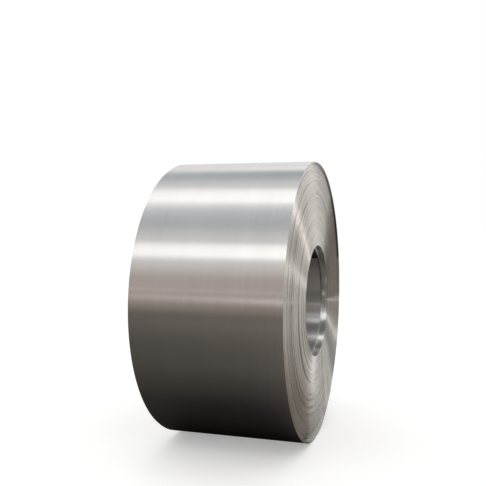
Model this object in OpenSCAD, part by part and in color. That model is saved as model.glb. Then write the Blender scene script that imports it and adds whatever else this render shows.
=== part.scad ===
// Steel coil: one strip wound on itself round an open eye, lying on its barrel.
// The eye runs along X, the end that shows in use faces +X, and the floor is z = 0.

/* [Strip] */
// Width of the strip (mm)
strip_w = 650; // [400:10:1000]
// Thickness of the strip (mm)
strip_t = 3; // [2:0.25:4]

/* [Eye] */
// Diameter of the open eye (mm)
eye_d = 508; // [400:1:620]
// Innermost laps, which have slid back from the +X end
core_laps = 2; // [2:1:4]
// How far they have slid back behind the bands round them (mm)
core_slide = 30; // [20:1:60]

/* [Body] */
// Bands of laps between the innermost and the outermost laps
bands = 43; // [20:1:50]
// Laps that lie level with each other in one band
band_laps = 3; // [2:1:5]
// How much further the band at the eye stands out than the band at the rim (mm)
lean = 13; // [4:1:16]
// Largest sideways wander of a band from its place (mm)
wander = 2; // [0.5:0.25:3]

/* [Rim] */
// Outermost laps, which stand out as a lip at the +X end
rim_laps = 2; // [2:1:4]
// How far the lip stands out beyond the band inside it (mm)
rim_slide = 11; // [6:1:20]

/* [Strip ends] */
// Where the strip begins in the eye, round the axis: 0 is the back, 90 is up (degrees)
inner_end = 51; // [20:1:80]
// Where the strip stops on the barrel, round the axis (degrees)
outer_end = -30; // [-35:1:0]
// Arc over which the next lap rises to full height beyond a strip end (degrees)
rise = 48; // [30:1:48]

/* [Hidden] */
$fn = 180;
// degrees of sideways sway from one band to the next, slow and quick
sway_slow = 29;
sway_quick = 137;
// share of the wander that is quick
quick_share = 0.6;
// degrees that the cutters run on past the end of a rise
run_on = 5;

eye_r = eye_d / 2;
core_r = eye_r + core_laps * strip_t;
band_t = band_laps * strip_t;
rim_r = core_r + bands * band_t;
coil_r = rim_r + rim_laps * strip_t;

function sway(i) = quick_share * sin(i * sway_quick) + (1 - quick_share) * sin(i * sway_slow);
function band_slide(i) = lean * (1 - i / (bands - 1)) + wander * sway(i);

// how far each ring of laps lies towards +X, from the eye outwards
slides = [
    band_slide(0) - core_slide,
    for (i = [0 : bands - 1]) band_slide(i),
    band_slide(bands - 1) + rim_slide
];
// the radii between those rings
radii = [
    eye_r,
    for (i = [0 : bands]) core_r + i * band_t,
    coil_r
];
last = len(slides) - 1;
centre_x = -(max(slides) + min(slides)) / 2;
coil_w = strip_w + max(slides) - min(slides);

// a circle moved off the axis by this much climbs one lap over the rise
off_axis = strip_t / sin(rise);
cutter_w = 2 * coil_w;

// stands a solid turned about Z on the floor with its axis along X
module lay_down() {
    translate([centre_x, 0, coil_r])
        rotate([90, 0, 90])
            children();
}

// half section of the wound strip: every ring has the strip's full width
module half_section() {
    half_w = strip_w / 2;
    polygon([
        for (k = [0 : last]) each [
            [radii[k], slides[k] + half_w],
            [radii[k + 1], slides[k] + half_w]
        ],
        for (k = [last : -1 : 0]) each [
            [radii[k + 1], slides[k] - half_w],
            [radii[k], slides[k] - half_w]
        ]
    ]);
}

// part of a ring, from one angle on through an arc
module ring_part(from, arc, r_in, r_out) {
    rotate(from)
        rotate_extrude(angle = arc)
            translate([r_in, -cutter_w / 2])
                square([r_out - r_in, cutter_w]);
}

// long round bar beside the axis
module bar(r, towards, w) {
    rotate(towards)
        translate([off_axis, 0, -w / 2])
            cylinder(h = w, r = r);
}

// hollow above the inner strip end, fading out round the eye
module inner_step() {
    intersection() {
        ring_part(inner_end, rise + run_on, eye_r - strip_t, core_r + strip_t);
        bar(eye_r, inner_end + rise - 90, 2 * cutter_w);
    }
}

// hollow below the outer strip end, fading out round the barrel
module outer_step() {
    difference() {
        ring_part(outer_end - rise - run_on, rise + run_on, rim_r - strip_t, coil_r + strip_t);
        bar(coil_r, outer_end - rise - 90, 2 * cutter_w);
    }
}

// the whole coil, one length of strip
module coil() {
    color("#b3b1ae")
        lay_down()
            difference() {
                rotate_extrude()
                    half_section();
                inner_step();
                outer_step();
            }
}

coil();
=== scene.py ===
# %% [markdown]
# # A coil of steel strip
#
# This notebook dresses a measured part in Blender. The part is raw stock: one long strip
# of cold-rolled steel, wound on itself round an open eye. The CAD model gives the sizes.
# Here the strip is really wound, lap by lap, so that its turns show on both ends.

# %% Load the measured part
import math

import bpy
import numpy as np
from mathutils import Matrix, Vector


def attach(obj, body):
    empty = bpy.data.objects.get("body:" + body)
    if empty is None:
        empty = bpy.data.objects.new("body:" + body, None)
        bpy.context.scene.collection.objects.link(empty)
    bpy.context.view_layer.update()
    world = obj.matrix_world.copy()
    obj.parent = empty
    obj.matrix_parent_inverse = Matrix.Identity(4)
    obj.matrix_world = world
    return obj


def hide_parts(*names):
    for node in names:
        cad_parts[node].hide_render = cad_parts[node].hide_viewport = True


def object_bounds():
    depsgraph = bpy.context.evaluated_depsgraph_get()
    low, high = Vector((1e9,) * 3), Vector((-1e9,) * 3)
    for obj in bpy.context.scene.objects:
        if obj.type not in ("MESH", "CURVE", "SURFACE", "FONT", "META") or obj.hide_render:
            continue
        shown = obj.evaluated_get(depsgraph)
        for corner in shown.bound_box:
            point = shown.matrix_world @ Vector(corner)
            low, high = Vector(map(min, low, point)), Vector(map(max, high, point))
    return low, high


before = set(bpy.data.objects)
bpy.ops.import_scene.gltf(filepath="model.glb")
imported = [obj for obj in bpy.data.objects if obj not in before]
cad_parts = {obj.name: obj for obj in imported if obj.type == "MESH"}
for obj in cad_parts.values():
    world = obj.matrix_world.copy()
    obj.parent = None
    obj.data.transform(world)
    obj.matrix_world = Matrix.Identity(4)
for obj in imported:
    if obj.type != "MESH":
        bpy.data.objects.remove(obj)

cad_low, cad_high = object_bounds()
print("CAD box, mm:", [round(1000 * side) for side in cad_high - cad_low])

# %% [markdown]
# Two small helpers serve the whole notebook. One turns a written colour into the linear
# numbers that Blender mixes with. The other adds a node, sets it, and feeds its inputs in
# order or by name, so that a long formula stays one line per step.


# %% Helpers
def colour(hex_code):
    """A written colour such as #b8b5b1 as linear RGBA."""
    parts = [int(hex_code[i : i + 2], 16) / 255 for i in (1, 3, 5)]
    linear = [c / 12.92 if c <= 0.04045 else ((c + 0.055) / 1.055) ** 2.4 for c in parts]
    return (*linear, 1.0)


def add(tree, kind, *feeds, out=0, named=(), **settings):
    """A new node: its settings, its inputs in order or by name, and the output asked for."""
    node = tree.nodes.new(kind)
    for key, value in settings.items():
        setattr(node, key, value)
    for key, value in [*enumerate(feeds), *dict(named).items()]:
        if isinstance(value, bpy.types.NodeSocket):
            tree.links.new(value, node.inputs[key])
        else:
            node.inputs[key].default_value = value
    return node.outputs[out] if node.outputs else node


print("a mid grey, linear:", [round(c, 3) for c in colour("#808080")[:3]])

# %% [markdown]
# ## The sizes
#
# They repeat the CAD part's own: a 508 mm eye, and strip 3 mm thick and 650 mm wide. The
# strip begins in the eye on the far side, above half height, and stops low on the back.
# Each lap lies round, and climbs one thickness within a short arc. That arc drifts slowly
# round the coil, from just above the inner end to just below the outer end.

# %% Sizes in metres and turns
EYE_R = 0.254
STRIP_T = 0.003
STRIP_W = 0.650
COIL_R = cad_high.z / 2
INNER_END = 51.0  # degrees: 0 is the back, 90 is up
OUTER_END = -30.0
LAPS = round((COIL_R - EYE_R) / STRIP_T)
TURNS = LAPS + (INNER_END - OUTER_END) / 360
CLIMB = 48 / 360  # share of a turn in which a lap climbs
STEPS = 120  # straight pieces in each turn
CORE_LAPS = 2.0  # the innermost laps, slid back and scuffed
RIM_LAPS = 2.0  # the outermost laps, which form the lip
FACES_END = 0.7  # a face whose normal has this much of X belongs to an end
length = math.tau * TURNS * (EYE_R + COIL_R) / 2
print("laps:", LAPS, " turns:", round(TURNS, 3), " strip, m:", round(length))

# %% [markdown]
# ## The steel
#
# The strip's two faces are cold-rolled: smooth, with a faint grain along the strip where
# the rolls have dragged. The grain could be drawn on an unrolled map. Noise in object
# space is simpler: it is squeezed across the strip and drawn out along it. The strip lies
# round the X axis, so the noise is fine along X and coarse along Y and Z, and no seam can
# appear. A slower noise shifts the tone a little, as uneven annealing does.


# %% Material: cold-rolled face, its tone and grain
def new_material(name):
    made = bpy.data.materials.new(name)
    made.use_nodes = True
    made.node_tree.nodes.clear()
    return made, made.node_tree


MATH, VECTOR, MAP = "ShaderNodeMath", "ShaderNodeVectorMath", "ShaderNodeMapRange"
NOISE = "ShaderNodeTexNoise"

# steel_strip_cold_rolled: bare steel, finished between polished rolls
face_steel, tree = new_material("steel_strip_cold_rolled")
place = add(tree, "ShaderNodeTexCoord", out="Object")
GRAIN, PATCH = (0.004, 0.30), (0.09, 0.55)  # metres across the strip and along it


def squeezed(across, along):
    """Object space scaled to a spot of this size."""
    return add(tree, VECTOR, place, (1 / across, 1 / along, 1 / along), operation="MULTIPLY")


along = squeezed(*GRAIN)
grain = add(tree, NOISE, named={"Vector": along, "Scale": 1.0, "Detail": 4.0, "Roughness": 0.6})
broad = squeezed(*PATCH)
anneal = add(tree, NOISE, named={"Vector": broad, "Scale": 1.0, "Detail": 2.0})
tones = {0: anneal, 6: colour("#c9c7c5"), 7: colour("#d3d1ce")}
tone = add(tree, "ShaderNodeMix", data_type="RGBA", out=2, named=tones)
fine = add(tree, MAP, grain, 0.3, 0.7, 0.95, 1.0)
print("grain", *(1000 * side for side in GRAIN), "mm across and along")

# %% [markdown]
# Some places differ, and they are found by the number of the turn, which the winding stores
# on the mesh. Shade is painted into the steel's colour in two places: under the lip of the
# right end, on its upper half only, and on the lap behind the loose tail in the eye. The
# mandrel of the winding machine has scuffed the first two laps, which are darker and duller.
#
# Rolled steel mirrors a lamp as a streak across its grain. Anisotropy does that: the
# tangent runs round the X axis, and a quarter turn lays the streak along the axis.

# %% Material: cold-rolled face, its marks, painted shade and gloss
turn = add(tree, "ShaderNodeAttribute", attribute_name="turn", out="Fac")
lip = add(tree, MATH, turn, LAPS - 1.75, 0.85, operation="COMPARE")
sideways = add(tree, "ShaderNodeSeparateXYZ", place, out="X")
on_right = add(tree, MATH, sideways, 0.0, operation="GREATER_THAN")
behind_tail = add(tree, MATH, turn, 1.05, 0.13, operation="COMPARE")
height = sideways.node.outputs["Z"]
upper = add(tree, MAP, height, COIL_R - 0.03, COIL_R + 0.07, 0.0, 1.0)
lip = add(tree, MATH, lip, upper, operation="MULTIPLY")
# painted shade: darker under the lip's upper right and on the lap behind the loose tail
painted_shade = add(tree, MATH, lip, on_right, behind_tail, operation="MULTIPLY_ADD")
light = add(tree, MATH, painted_shade, -0.72, fine, operation="MULTIPLY_ADD")
scuffed = (CORE_LAPS, CORE_LAPS + 0.3)  # turns over which the scuffing ends
worn = add(tree, MAP, turn, *scuffed, 0.82, 1.0)
light = add(tree, MATH, light, worn, operation="MULTIPLY")
shade = add(tree, VECTOR, tone, operation="SCALE", named={"Scale": light})
rough = add(tree, MAP, grain, 0.3, 0.7, 0.21, 0.27)
scuff = add(tree, MAP, turn, *scuffed, 0.08, 0.0)
rough = add(tree, MATH, rough, scuff, operation="ADD")
relief = add(tree, "ShaderNodeBump", named={"Strength": 0.04, "Distance": 0.0003, "Height": grain})
tangent = add(tree, "ShaderNodeTangent", direction_type="RADIAL", axis="X")
surface = {"Base Color": shade, "Roughness": rough, "Normal": relief, "Tangent": tangent}
metal = {"Metallic": 1.0, "Anisotropic": 1.0, "Anisotropic Rotation": 0.25}
steel = add(tree, "ShaderNodeBsdfPrincipled", named=surface | metal)
add(tree, "ShaderNodeOutputMaterial", steel)
print("made", face_steel.name, "with", len(tree.nodes), "nodes")

# %% [markdown]
# The ends show the strip's edges, cut on a slitting line. A cut edge is duller than the
# rolled face, and it scatters light along the cut, so the end as a whole shines in streaks
# that point at the eye. Each lap keeps its own tone and gloss: a random value is drawn for
# each whole turn, and a slower one for groups of laps. Near the loose tail in the eye, the
# edges of the two inmost laps are painted dark: a painted shade for the gap behind the tail.

# %% Material: slit edge
# steel_strip_slit_edge: the same steel, sheared by disc knives
edge_steel, tree = new_material("steel_strip_slit_edge")
turn = add(tree, "ShaderNodeAttribute", attribute_name="turn", out="Fac")
lap = add(tree, MATH, turn, operation="FLOOR")
drawn = add(tree, "ShaderNodeTexWhiteNoise", noise_dimensions="1D", named={"W": lap})
by_group = {"W": lap, "Scale": 0.21, "Detail": 2.0}
group = add(tree, NOISE, noise_dimensions="1D", named=by_group)
both = add(tree, MATH, drawn, 0.3, group, operation="MULTIPLY_ADD")
tones = {0: both, 6: colour("#bdb8b2"), 7: colour("#d2cdc6")}
tone = add(tree, "ShaderNodeMix", data_type="RGBA", out=2, named=tones)
place = add(tree, "ShaderNodeTexCoord", out="Object")
dust = add(tree, NOISE, named={"Vector": place, "Scale": 9.0, "Detail": 5.0})
dull = add(tree, MAP, dust, 0.35, 0.75, 1.0, 0.9)
way_round = add(tree, MATH, turn, operation="FRACT")
by_tail = add(tree, MATH, way_round, 0.17, operation="LESS_THAN")
inmost = add(tree, MATH, turn, CORE_LAPS, operation="LESS_THAN")
# painted shade: the two inmost laps' edges are darkened near the loose tail
painted_tail_shade = add(tree, MATH, by_tail, inmost, operation="MULTIPLY")
light = add(tree, MATH, painted_tail_shade, -0.7, dull, operation="MULTIPLY_ADD")
shade = add(tree, VECTOR, tone, operation="SCALE", named={"Scale": light})
rough = add(tree, MAP, both, 0.35, 0.95, 0.25, 0.45)
tangent = add(tree, "ShaderNodeTangent", direction_type="RADIAL", axis="X")
surface = {"Base Color": shade, "Roughness": rough, "Tangent": tangent}
metal = {"Metallic": 1.0, "Anisotropic": 0.95, "Anisotropic Rotation": 0.25}
steel = add(tree, "ShaderNodeBsdfPrincipled", named=surface | metal)
add(tree, "ShaderNodeOutputMaterial", steel)
print("made", edge_steel.name, "with", len(tree.nodes), "nodes")

# %% [markdown]
# ## Winding the strip
#
# A turned solid with lines painted on its ends would do from afar. Up close, the ends of a
# real coil are a relief of edges, so a Geometry Nodes tree winds the strip as a mill does.
# A line of points becomes a flat spiral: the point's number gives the turn, and the turn
# gives the angle and the radius. Then each point slides sideways, and a thin section is
# swept along the spiral. The tree's inputs are the sizes that a reader may want to change.

# %% The tree and its named inputs
wind = bpy.data.node_groups.new("wind_strip", "GeometryNodeTree")
wind.interface.new_socket("Geometry", in_out="INPUT", socket_type="NodeSocketGeometry")
wind.interface.new_socket("Geometry", in_out="OUTPUT", socket_type="NodeSocketGeometry")
settings = {
    "Points": round(TURNS * STEPS) + 1,
    "Steps per turn": STEPS,
    "Eye radius": EYE_R,
    "Strip thickness": STRIP_T,
    "Strip width": STRIP_W,
    "Air": 0.00025,
    "Rolled edge": 0.0006,
    "Tail spring": 0.013,
    "Core slide": 0.030,
    "Lean": 0.013,
    "Lip": 0.011,
    "Slow wander": 0.0020,
    "Quick wander": 0.0009,
    "Seed": 7.0,
    "Face": face_steel,
    "Edge": edge_steel,
}
sockets = {int: "NodeSocketInt", float: "NodeSocketFloat"}
for name, value in settings.items():
    kind = sockets.get(type(value), "NodeSocketMaterial")
    wind.interface.new_socket(name, in_out="INPUT", socket_type=kind)
given = wind.nodes.new("NodeGroupInput").outputs
print("inputs:", ", ".join(settings))

# %% [markdown]
# The radius climbs in steps: whole climbs so far, plus a smooth share of the next one in
# the last part of each turn. One climb takes a hair more than a turn, which lets the
# climbing arc drift from the inner end to the outer end. The free tail in the eye stands
# off the lap behind it for a fifth of a turn, because nothing holds it there.

# %% Turn, angle and radius of each point
number = add(wind, "GeometryNodeInputIndex")
turn = add(wind, MATH, number, given["Steps per turn"], operation="DIVIDE")
angle = add(wind, MATH, turn, -math.tau, math.radians(INNER_END), operation="MULTIPLY_ADD")
drift = (TURNS - 1) / (LAPS - 1 - CLIMB)
climbs = add(wind, MATH, turn, drift, operation="DIVIDE")
whole = add(wind, MATH, climbs, operation="FLOOR")
share = add(wind, MATH, climbs, operation="FRACT")
EASED = {"interpolation_type": "SMOOTHSTEP"}
eased = add(wind, MAP, share, 1 - CLIMB, 1.0, 0.0, 1.0, **EASED)
height = add(wind, MATH, whole, eased, operation="ADD")
thick = given["Strip thickness"]
inside = add(wind, MATH, height, thick, given["Eye radius"], operation="MULTIPLY_ADD")
loose = add(wind, MAP, turn, 0.09, 0.21, -1.0, 0.0, **EASED)
inside = add(wind, MATH, loose, given["Tail spring"], inside, operation="MULTIPLY_ADD")
body = add(wind, MATH, thick, given["Air"], operation="ADD")
radius = add(wind, MATH, body, 0.5, inside, operation="MULTIPLY_ADD")
flat_x = add(wind, MATH, add(wind, MATH, angle, operation="COSINE"), radius, operation="MULTIPLY")
flat_y = add(wind, MATH, add(wind, MATH, angle, operation="SINE"), radius, operation="MULTIPLY")
print("a climb takes", round(drift, 4), "turns")

# %% [markdown]
# Real laps never stack true. The first two have slid back into the eye, the laps after
# them lean, and the outermost ones stand out as a lip.

# %% Sideways: core, lean and lip
core = add(wind, MAP, turn, CORE_LAPS, CORE_LAPS + 0.25, -1.0, 0.0, **EASED)
slide = add(wind, MATH, core, given["Core slide"], operation="MULTIPLY")
rim = LAPS - RIM_LAPS
lean = add(wind, MAP, turn, CORE_LAPS, rim, 1.0, 0.0)
slide = add(wind, MATH, lean, given["Lean"], slide, operation="MULTIPLY_ADD")
lip = add(wind, MAP, turn, rim, rim + 0.6, 0.0, 1.0, **EASED)
slide = add(wind, MATH, lip, given["Lip"], slide, operation="MULTIPLY_ADD")
print("core, lean and lip lie between turns 0 and", LAPS)

# %% [markdown]
# On top of that the laps wander. A slow wander moves groups of laps together. A quick one
# sets a lap off from its neighbour over part of its way round, which draws the crescent
# lines of a real coil's end. Where the winding was tightened, a lap sits deeper: those are
# the few grooves, each given by its turn and its depth. The lip is held tight and hardly
# wanders.

# %% Sideways: wander and grooves
later = add(wind, MATH, turn, given["Seed"], operation="ADD")
between = add(wind, MAP, turn, rim - 1.0, rim, 1.0, 0.15)
for name, pace in (("Slow wander", 0.16), ("Quick wander", 1.1)):
    by_turn = {"W": later, "Scale": pace, "Detail": 1.0}
    sway = add(wind, NOISE, noise_dimensions="1D", named=by_turn)
    sway = add(wind, MAP, sway, 0.25, 0.75, -1.0, 1.0)
    sway = add(wind, MATH, sway, between, operation="MULTIPLY")
    slide = add(wind, MATH, sway, given[name], slide, operation="MULTIPLY_ADD")
GROOVES = {11.3: 2.0, 30.4: 1.5, 76.2: 2.5, 85.0: 2.5, 102.6: 3.0, 122.1: 2.5}  # turn: mm
for at, depth in GROOVES.items():
    away = add(wind, MATH, turn, at, operation="SUBTRACT")
    away = add(wind, MATH, away, operation="ABSOLUTE")
    groove = add(wind, MAP, away, 0.25, 0.9, -depth / 1000, 0.0, **EASED)
    slide = add(wind, MATH, slide, groove, operation="ADD")
print("two wanders and", len(GROOVES), "grooves")

# %% [markdown]
# The swept section is not quite a rectangle. Slitting knives draw the strip's outer corner
# down a little before the steel parts, so each edge slopes by half a millimetre or so. On
# the coil's end that slope turns every lap a touch outward, and the light with it.

# %% The strip's section
thin = add(wind, MATH, thick, given["Air"], operation="SUBTRACT")
half_t = add(wind, MATH, thin, 0.5, operation="MULTIPLY")
half_w = add(wind, MATH, given["Strip width"], 0.5, operation="MULTIPLY")
short_w = add(wind, MATH, half_w, given["Rolled edge"], operation="SUBTRACT")
corners = {}
for side, end, reach in ((-1, -1, short_w), (1, -1, half_w), (1, 1, half_w), (-1, 1, short_w)):
    across = add(wind, MATH, half_t, side, operation="MULTIPLY")
    along = add(wind, MATH, reach, end, operation="MULTIPLY")
    spot = add(wind, "ShaderNodeCombineXYZ", across, along)
    corners[f"Point {len(corners) + 1}"] = spot
QUAD = "GeometryNodeCurvePrimitiveQuadrilateral"
section = add(wind, QUAD, mode="POINTS", named=corners)
print("section with", len(corners), "corners")

# %% [markdown]
# The spiral is wound flat round Z and then turned, so that its axis lies along X as the
# coil does on the floor. Faces that look along the axis are the strip's edges, and the
# rest are its rolled faces.

# %% Sweep, turn, and give out the materials
line = add(wind, "GeometryNodeMeshLine", given["Points"])
spot = add(wind, "ShaderNodeCombineXYZ", flat_x, flat_y, slide)
line = add(wind, "GeometryNodeSetPosition", line, named={"Position": spot})
line = add(wind, "GeometryNodeStoreNamedAttribute", line, named={"Name": "turn", "Value": turn})
path = add(wind, "GeometryNodeMeshToCurve", line)
path = add(wind, "GeometryNodeSetCurveNormal", path, mode="Z_UP")
strip = add(wind, "GeometryNodeCurveToMesh", path, section, named={"Fill Caps": True})
lying = {"Rotation": (math.pi / 2, 0.0, math.pi / 2), "Translation": (0.0, 0.0, COIL_R)}
strip = add(wind, "GeometryNodeTransform", strip, named=lying)
facing = add(wind, "ShaderNodeSeparateXYZ", add(wind, "GeometryNodeInputNormal"))
facing = add(wind, MATH, facing, operation="ABSOLUTE")
on_end = add(wind, MATH, facing, FACES_END, operation="GREATER_THAN")
SET = "GeometryNodeSetMaterial"
strip = add(wind, "GeometryNodeRealizeInstances", strip)
strip = add(wind, SET, strip, named={"Material": given["Face"]})
strip = add(wind, SET, strip, named={"Selection": on_end, "Material": given["Edge"]})
add(wind, "NodeGroupOutput", strip)
print("nodes in the tree:", len(wind.nodes))

# %% [markdown]
# The tree runs once, on an empty mesh, and its result is copied into a plain mesh. The
# wander is random, so the coil is then moved along X until it sits in the middle of the
# CAD part's box. Smooth shading rounds the laps, and their edges stay sharp.

# %% Wind it
scene = bpy.context.scene
reel = bpy.data.objects.new("reel", bpy.data.meshes.new("reel"))
scene.collection.objects.link(reel)
winder = reel.modifiers.new("wind", "NODES")
winder.node_group = wind
for item in wind.interface.items_tree:
    if item.name in settings:
        winder[item.identifier] = settings[item.name]
reel.update_tag()
wound = reel.evaluated_get(bpy.context.evaluated_depsgraph_get())
mesh = bpy.data.meshes.new_from_object(wound)
bpy.data.objects.remove(reel)
spots = np.empty(len(mesh.vertices) * 3)
mesh.vertices.foreach_get("co", spots)
spots = spots.reshape(-1, 3)
spots[:, 0] += (cad_low.x + cad_high.x - spots[:, 0].min() - spots[:, 0].max()) / 2
mesh.vertices.foreach_set("co", spots.ravel())
mesh.shade_smooth()
mesh.set_sharp_from_angle(angle=math.radians(40))
print("box, mm:", (1000 * spots.min(0)).round(1), (1000 * spots.max(0)).round(1))

# %% [markdown]
# ## A map for baking
#
# The materials need no map, but a copy of the coil for other programs would be baked onto one.
# Nearly all of the steel is hidden between the laps, and an automatic map would spend its
# room there. So the map is laid out region by region: the two ends as discs, the barrel and
# the eye unrolled in two halves each, and all that is hidden stacked in one narrow strip.
# First each corner of the mesh learns about its face.


# %% What each corner of the mesh belongs to
def read(items, name, kind=float, width=1):
    """One property of many mesh items as an array."""
    values = np.empty(len(items) * width, kind)
    items.foreach_get(name, values)
    return values.reshape(-1, width) if width > 1 else values


corner = read(mesh.loops, "vertex_index", int)
count = read(mesh.polygons, "loop_total", int)
face = np.repeat(np.arange(len(count)), count)
normal = read(mesh.polygons, "normal", float, 3)[face]
x, y, z = (spots - (0.0, 0.0, COIL_R))[corner].T
turns = read(mesh.attributes["turn"].data, "value")[corner]
mid_y, mid_z, mid_turn = ((np.bincount(face, v) / count)[face] for v in (y, z, turns))
outward = normal[:, 1] * mid_y + normal[:, 2] * mid_z > 0
print("corners:", len(corner), " faces:", len(count))

# %% [markdown]
# A face on the cut of the unrolled barrel would stretch right across the map. To avoid
# that, each corner is measured from the middle of its own face.

# %% Lay out the map
bearing = np.arctan2(mid_z, mid_y) / math.tau % 1
offset = np.arctan2(mid_y * z - mid_z * y, mid_y * y + mid_z * z) / math.tau
half = np.floor(2 * bearing)
unrolled = 2 * (bearing + offset) - half
MAP_SPAN = 0.69  # metres across the barrel's rows of the map
DISC = 0.365  # map units for each metre of an end
width = x / MAP_SPAN + 0.5
row = 0.10 + 0.20 * half + 0.19 * width
regions = {
    "right end": (normal[:, 0] > FACES_END, 0.25 + DISC * y, 0.75 + DISC * z),
    "left end": (normal[:, 0] < -FACES_END, 0.75 + DISC * y, 0.75 + DISC * z),
    "barrel": (outward & (mid_turn > TURNS - 1), 0.02 + 0.66 * unrolled, row),
    "eye": (~outward & (mid_turn < 1), 0.71 + 0.26 * unrolled, row),
}
which, us, vs = zip(*regions.values())
across = np.select(which, us, 0.02 + 0.96 * (bearing + offset))
up = np.select(which, vs, 0.03 + 0.04 * width)
flat = mesh.uv_layers.new(name="OFBake")
flat.data.foreach_set("uv", np.stack([across, up], 1).clip(0.001, 0.999).ravel())
for name, chosen in zip(regions, which):
    print(name, "faces:", len(np.unique(face[chosen])))

# %% [markdown]
# The wound strip now takes the place of the CAD coil.

# %% The coil itself
coil = bpy.data.objects.new("steel_coil", mesh)
scene.collection.objects.link(coil)
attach(coil, "root")
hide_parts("coil")
print("triangles:", int((count - 2).sum()), " materials:", [m.name for m in mesh.materials])

# %% [markdown]
# ## The studio
#
# Bright metal shows the room more than itself, so the room is built like a photographer's:
# a pale floor, a white surround, and soft lamps. The surround is white to the eye and to
# reflections, and a gentler fill for the floor, which keeps the coil's shadow.

# %% Floor and surround
scene.view_settings.view_transform = "Standard"


def panel(name, corners, material):
    """A flat stage piece with the given corners."""
    made = bpy.data.objects.new(name, bpy.data.meshes.new(name))
    made.data.from_pydata(corners, [], [range(len(corners))])
    made.data.materials.append(material)
    scene.collection.objects.link(made)
    return made


def seen_directly(tree):
    """1 for what the camera, a reflection or a clear body shows, 0 for plain lighting."""
    rays = tree.nodes.new("ShaderNodeLightPath").outputs
    seen = add(tree, MATH, rays["Is Camera Ray"], rays["Is Glossy Ray"], operation="ADD")
    return add(tree, MATH, seen, rays["Is Transmission Ray"], operation="ADD", use_clamp=True)


floor_paint, tree = new_material("floor_pale_matt")
lit = add(tree, "ShaderNodeBsdfDiffuse", colour("#f6f6f5"))
lift = add(tree, MATH, seen_directly(tree), 0.34, operation="MULTIPLY")
lift = add(tree, "ShaderNodeEmission", colour("#ffffff"), lift)
add(tree, "ShaderNodeOutputMaterial", add(tree, "ShaderNodeAddShader", lit, lift))
FAR = 40  # metres from the middle to the floor's edge
panel("floor", [(-FAR, -FAR, 0), (FAR, -FAR, 0), (FAR, FAR, 0), (-FAR, FAR, 0)], floor_paint)

scene.world = bpy.data.worlds.new("studio")
scene.world.use_nodes = True
tree = scene.world.node_tree
tree.nodes.clear()
fill = add(tree, "ShaderNodeBackground", colour("#ffffff"), 0.75)
white = add(tree, "ShaderNodeBackground", colour("#ffffff"), 1.0)
surround = add(tree, "ShaderNodeMixShader", seen_directly(tree), fill, white)
add(tree, "ShaderNodeOutputWorld", surround)
print("floor and surround are pale")

# %% [markdown]
# Cards shape the reflections and nothing else, so only reflections see them. A grey mat
# lets the underside of the barrel fall into shade, as it does on a works floor, and a shadow
# is painted into its colour: it is painted darkest right under the coil. Beside each end
# lies a paler, sand-coloured mat. Behind the coil all of them stop, and the white floor
# brightens the far side of the ends.


# %% Mats on the floor
def shade_by(tree, where, stops):
    """A colour that runs from stop to stop as the given value rises."""
    ramp = tree.nodes.new("ShaderNodeValToRGB")
    low, high = min(stops), max(stops)
    tree.links.new(add(tree, MAP, where, low, high), ramp.inputs[0])
    while len(ramp.color_ramp.elements) < len(stops):
        ramp.color_ramp.elements.new(0.5)
    for stop, (value, code) in zip(ramp.color_ramp.elements, stops.items()):
        stop.position, stop.color = (value - low) / (high - low), colour(code)
    ramp.color_ramp.interpolation = "EASE"
    return ramp.outputs[0]


def only_reflected(card):
    card.visible_camera = card.visible_diffuse = card.visible_shadow = False


# painted shadow: the grey mat is painted darkest from -0.3 to 0.5 m, right under the coil
GREY_WITH_PAINTED_SHADOW = {-10: "#8a837d", -3: "#7e7973", -1: "#66625c", -0.75: "#5a5752", -0.5: "#434140"}
GREY_WITH_PAINTED_SHADOW |= {-0.3: "#3a3836", 0.5: "#3a3734", 0.9: "#66625d", 3: "#8e8983"}
SAND = {-3: "#b5afa8", 0: "#aaa39b", 8: "#a29b93"}
side = cad_high.x + 0.02
near = -1.3  # where the left mat starts
edge = 30  # how far the mats reach
laid = 0.001  # height of the mats above the floor
step = [(side, 3), (near, 3), (near, -0.3)]
MATS = {
    "grey": (GREY_WITH_PAINTED_SHADOW, [(-edge, -edge), (side, -edge), *step, (-edge, -0.3)]),
    "sand_right": (SAND, [(side, -edge), (edge, -edge), (edge, 8), (side, 0.6)]),
    "sand_left": (SAND, [(-edge, -0.3), (near, -0.3), (near, 0.6), (-edge, 8)]),
}
for name, (stops, outline) in MATS.items():
    cloth, tree = new_material(f"card_{name}_cloth")
    place = add(tree, "ShaderNodeTexCoord", out="Object")
    depth = add(tree, "ShaderNodeSeparateXYZ", place, out="Y")
    dyed = add(tree, "ShaderNodeBsdfDiffuse", shade_by(tree, depth, stops))
    add(tree, "ShaderNodeOutputMaterial", dyed)
    only_reflected(panel(f"mat_{name}", [(x, y, laid) for x, y in outline], cloth))
    print("mat", name, "with", len(stops), "tones from front to back")

# %% [markdown]
# A grey card stands upright off the right end. It is no lamp, yet it glows a dim grey, a
# painted glow that stands for a lit card. It keeps the lower part of that end from mirroring
# the white surround.

# %% Card off the right end
glowing_card, tree = new_material("card_grey_glowing_card")
# the card glows by itself: a painted glow, seen only in reflections
add(tree, "ShaderNodeOutputMaterial", add(tree, "ShaderNodeEmission", colour("#7d7873"), 1.0))
upright = [(5.0, -0.6, 0.2), (4.5, 2.0, 0.2), (4.5, 2.0, 4.0), (5.0, -0.6, 4.0)]
only_reflected(panel("card_right", upright, glowing_card))
print("card off the right end")

# %% [markdown]
# A tent of glowing cloth arches over the coil, from the wall behind the camera to the wall
# behind the coil. It is dim and warm at the front, cool above, and brightest in the soft
# bands that a lit ceiling would give. A bent sheet does: a row of strips round the coil's
# own axis, with the glow set by the angle.

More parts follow.
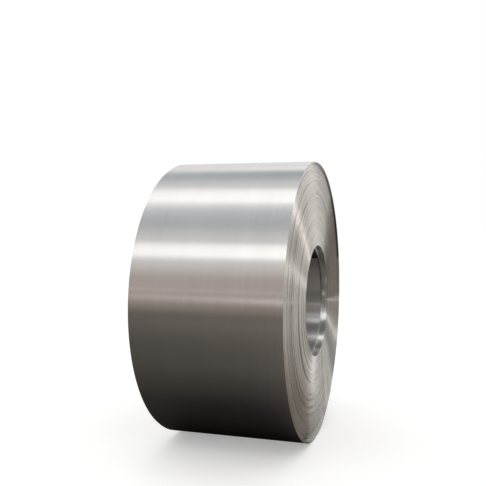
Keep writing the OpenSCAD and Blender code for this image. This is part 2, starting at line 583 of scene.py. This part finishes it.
# %% Tent
GLOW = {-6: "#8b837c", -1: "#a19790", 4.4: "#bdb2ac", 5.6: "#e4d8d2", 6.8: "#bfb3ae"}
GLOW |= {10.2: "#c2b6b1", 11: "#f2eae6", 11.8: "#c8bcb7", 20: "#cabeb9", 30: "#ebe8e6"}
GLOW |= {40: "#ffffff", 52: "#f5f6f7", 64: "#d0d3d6", 73: "#d4dae0", 84: "#fdfdfd"}
GLOW |= {106: "#ffffff", 116: "#d6dbdf", 121: "#bac3ca", 127: "#b7c2ca", 131: "#fdfeff"}
GLOW |= {152: "#fdfdfd", 175: "#ddd8d3"}
tent_cloth, tree = new_material("card_tent_cloth")
place = add(tree, "ShaderNodeTexCoord", out="Object")
behind = add(tree, "ShaderNodeSeparateXYZ", place, out="Y")
above = behind.node.outputs["Z"]
front = add(tree, MATH, behind, -1.0, operation="MULTIPLY")
angle = add(tree, MATH, above, front, operation="ARCTAN2")
rise = add(tree, MATH, angle, operation="DEGREES")
glow = add(tree, "ShaderNodeEmission", shade_by(tree, rise, GLOW), 1.0)
add(tree, "ShaderNodeOutputMaterial", glow)
arch = [math.radians(degrees) for degrees in range(-6, 175, 4)]
TENT_R, TENT_ENDS = 6, (-12.0, 12.0)
ribs = [(x, -TENT_R * math.cos(a), TENT_R * math.sin(a)) for a in arch for x in TENT_ENDS]
strips = [(i, i + 1, i + 3, i + 2) for i in range(0, len(ribs) - 2, 2)]
tent = bpy.data.objects.new("tent", bpy.data.meshes.new("tent"))
tent.data.from_pydata(ribs, [], strips)
tent.data.materials.append(tent_cloth)
tent.location.z = COIL_R
scene.collection.objects.link(tent)
only_reflected(tent)
print("tent of", len(strips), "strips")

# %% [markdown]
# The lamps are soft rectangles. Each is set by how bright it looks, so the same number
# says how white its reflection is. Three lie along the coil and are placed by their angle
# round its axis, and a short one glows low in front.


# %% Lamps along the coil
def round_coil(angle, distance, x=0.0):
    """A place at an angle round the coil's axis: 0 is in front, 90 overhead, 180 behind."""
    a = math.radians(angle)
    return Vector((x, -distance * math.cos(a), COIL_R + distance * math.sin(a)))


def lamp(name, place, aim, length, width, radiance):
    """A soft rectangle whose length lies level."""
    made = bpy.data.lights.new(name, "AREA")
    made.shape = "RECTANGLE"
    made.size, made.size_y = length, width
    made.energy = radiance * math.pi * length * width
    held = bpy.data.objects.new(name, made)
    held.location = place
    held.rotation_euler = (aim - place).to_track_quat("-Z", "Y").to_euler()
    held.visible_camera = False
    scene.collection.objects.link(held)
    return held


middle = Vector((0.0, 0.0, COIL_R))
lamp("lamp_overhead", round_coil(89.5, 4.0), middle, 9.0, 1.1, 0.75)
lamp("lamp_front", round_coil(40.3, 4.0), middle, 9.0, 0.75, 0.7)
lamp("lamp_behind", round_coil(134, 5.0), middle, 9.0, 0.5, 0.3)
lamp("lamp_doorway", round_coil(4.4, 5.5, 1.4), middle, 1.0, 0.2, 7.0)

# %% [markdown]
# Small catch lights stand off the coil's end. They draw the bright streaks across the cut
# edges, and one shines into the eye. They give the floor no light of their own. Each has
# its direction from the eye, its length and width in metres, and how bright it looks.

# %% Catch lights
eye = Vector((cad_high.x, 0.0, COIL_R))
AWAY = 5.0  # metres from the eye
CATCH = {
    "high": ((0.70, 0.56, 0.445), 0.3, 0.3, 42),
    "low": ((0.937, 0.308, 0.162), 0.3, 0.3, 30),
    "level": ((0.962, 0.272, -0.017), 0.3, 0.3, 4),
    "back": ((0.24, 0.93, 0.27), 1.6, 0.7, 0.25),
    "eye": ((0.45, -0.68, 0.58), 2.0, 0.6, 1.5),
}
for name, (way, length, width, radiance) in CATCH.items():
    catch = lamp("catch_" + name, eye + AWAY * Vector(way), eye, length, width, radiance)
    catch.visible_diffuse = False
print("catch lights:", ", ".join(CATCH))

# %% [markdown]
# Two strip lamps hang inside the eye, where the ends can't see them. They draw the bright
# bands on its far wall. Each has its place and its aim behind the axis and above it, and
# how bright it looks.

# %% Lamps inside the eye
INSIDE_X, INSIDE_LENGTH, INSIDE_WIDTH = 0.285, 0.09, 0.05
INSIDE = {
    "front": ((-0.033, 0.184), (0.24, -0.08), 4.2),
    "top": ((0.18, 0.145), (0.186, -0.173), 1.9),
}
for name, (spot, aim, radiance) in INSIDE.items():
    spot, aim = (Vector((INSIDE_X, back, COIL_R + up)) for back, up in (spot, aim))
    held = lamp("inside_" + name, spot, aim, INSIDE_LENGTH, INSIDE_WIDTH, radiance)
    held.visible_diffuse = False
print("lamps inside the eye:", ", ".join(INSIDE))

# %% [markdown]
# ## The camera
#
# It stands to the right of the coil and a little above its middle, and looks slightly
# down, so that the barrel fills the view and the right end shows as a narrow oval.

# %% Camera
lens = bpy.data.cameras.new("camera")
lens.sensor_width = 36.0
lens.lens = 51.08
camera = bpy.data.objects.new("camera", lens)
camera.location = (0.97369, -3.20404, 1.05073)
DOWN, LEFT = 0.03875, 0.3029  # radians, fitted to the photo's outline
camera.rotation_euler = (math.pi / 2 - DOWN, 0.0, LEFT)
scene.collection.objects.link(camera)
scene.camera = camera
print("camera", round((camera.location - middle).length, 2), "m from the coil's middle")
